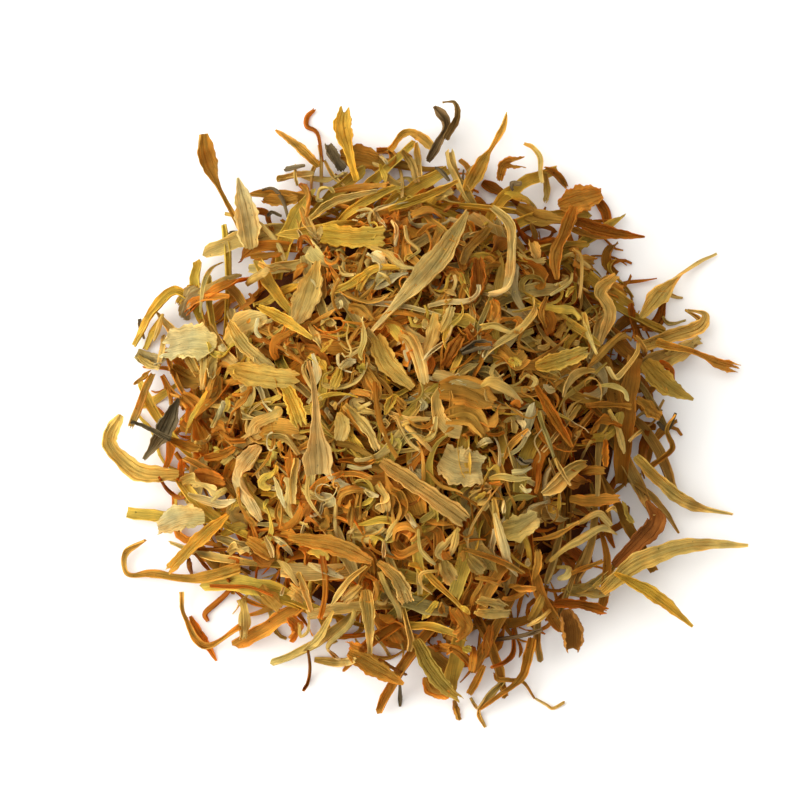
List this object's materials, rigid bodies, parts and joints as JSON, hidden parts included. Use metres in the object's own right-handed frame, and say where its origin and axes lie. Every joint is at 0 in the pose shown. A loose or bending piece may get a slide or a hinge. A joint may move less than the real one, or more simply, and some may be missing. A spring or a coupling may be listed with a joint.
{
  "type": "heap of dried marigold petals",
  "caption": "Round heap of loose dried marigold petals, orange, yellow and straw, lying across each other, with a dark leaf and bract among them.",
  "frame": {"origin": "on the surface that the heap lies on, under the middle of the heap", "axes": "+Z up, out of the heap's top; +X to the right and +Y up as the heap is seen in the picture"},
  "size_m": [0.1069, 0.1046, 0.0311],
  "materials": {
    "orange": "dry petal, orange",
    "amber": "dry petal, amber",
    "yellow": "dry petal, yellow",
    "straw": "dry petal, faded straw",
    "pale": "dry petal, pale and translucent",
    "olive": "dry petal, olive straw",
    "rust": "dry petal, dark orange",
    "dead": "withered petal, brown",
    "leaf": "dry leaf and bract, grey brown"
  },
  "bodies": {
    "root": {"petal_heap": "amber", "ribbon_left": "orange", "ring_left_below": "orange", "strap_left_below": "orange", "pale_left_below": "pale", "ring_left": "straw", "dark_leaf": "leaf", "dark_stalk": "leaf", "arched_left": "yellow", "pale_left": "pale", "spoon_top_left": "orange", "pale_point_top_left": "pale", "spike_top_left": "orange", "grey_scrap": "leaf", "upright_yellow": "yellow", "arc_top": "orange", "dark_bract": "leaf", "bract_curl": "leaf", "hook_top": "orange", "fork_top_right": "amber", "broad_top_right": "amber", "point_right_above": "rust", "twist_right_above": "straw", "hook_right": "straw", "ragged_right": "orange", "point_right": "olive", "curl_right": "amber", "long_right": "straw", "dead_petal_right": "dead", "long_upper_right": "straw", "long_lower_right": "yellow", "stub_right_below": "rust", "curled_pod": "dead", "fork_below": "amber", "strap_below": "olive", "spoon_below": "straw", "amber_below": "amber", "straw_top": "straw", "narrow_yellow_top": "yellow", "square_yellow": "yellow", "spoon_left_above": "straw", "folded_yellow_left": "yellow", "straw_left": "straw", "cut_yellow_left": "yellow", "yellow_left_centre": "yellow", "spoon_centre": "straw", "twisted_straw_left": "straw", "orange_lens": "orange", "fan_below_right": "straw", "tab_centre": "yellow", "strap_centre": "pale", "crumpled_pale": "pale", "orange_cup": "rust", "long_straw": "straw", "curved_straw": "straw", "yellow_right": "yellow", "narrow_orange_right": "orange", "bent_straw_right": "straw", "gold_top_right": "amber"}
  },
  "joints": []
}
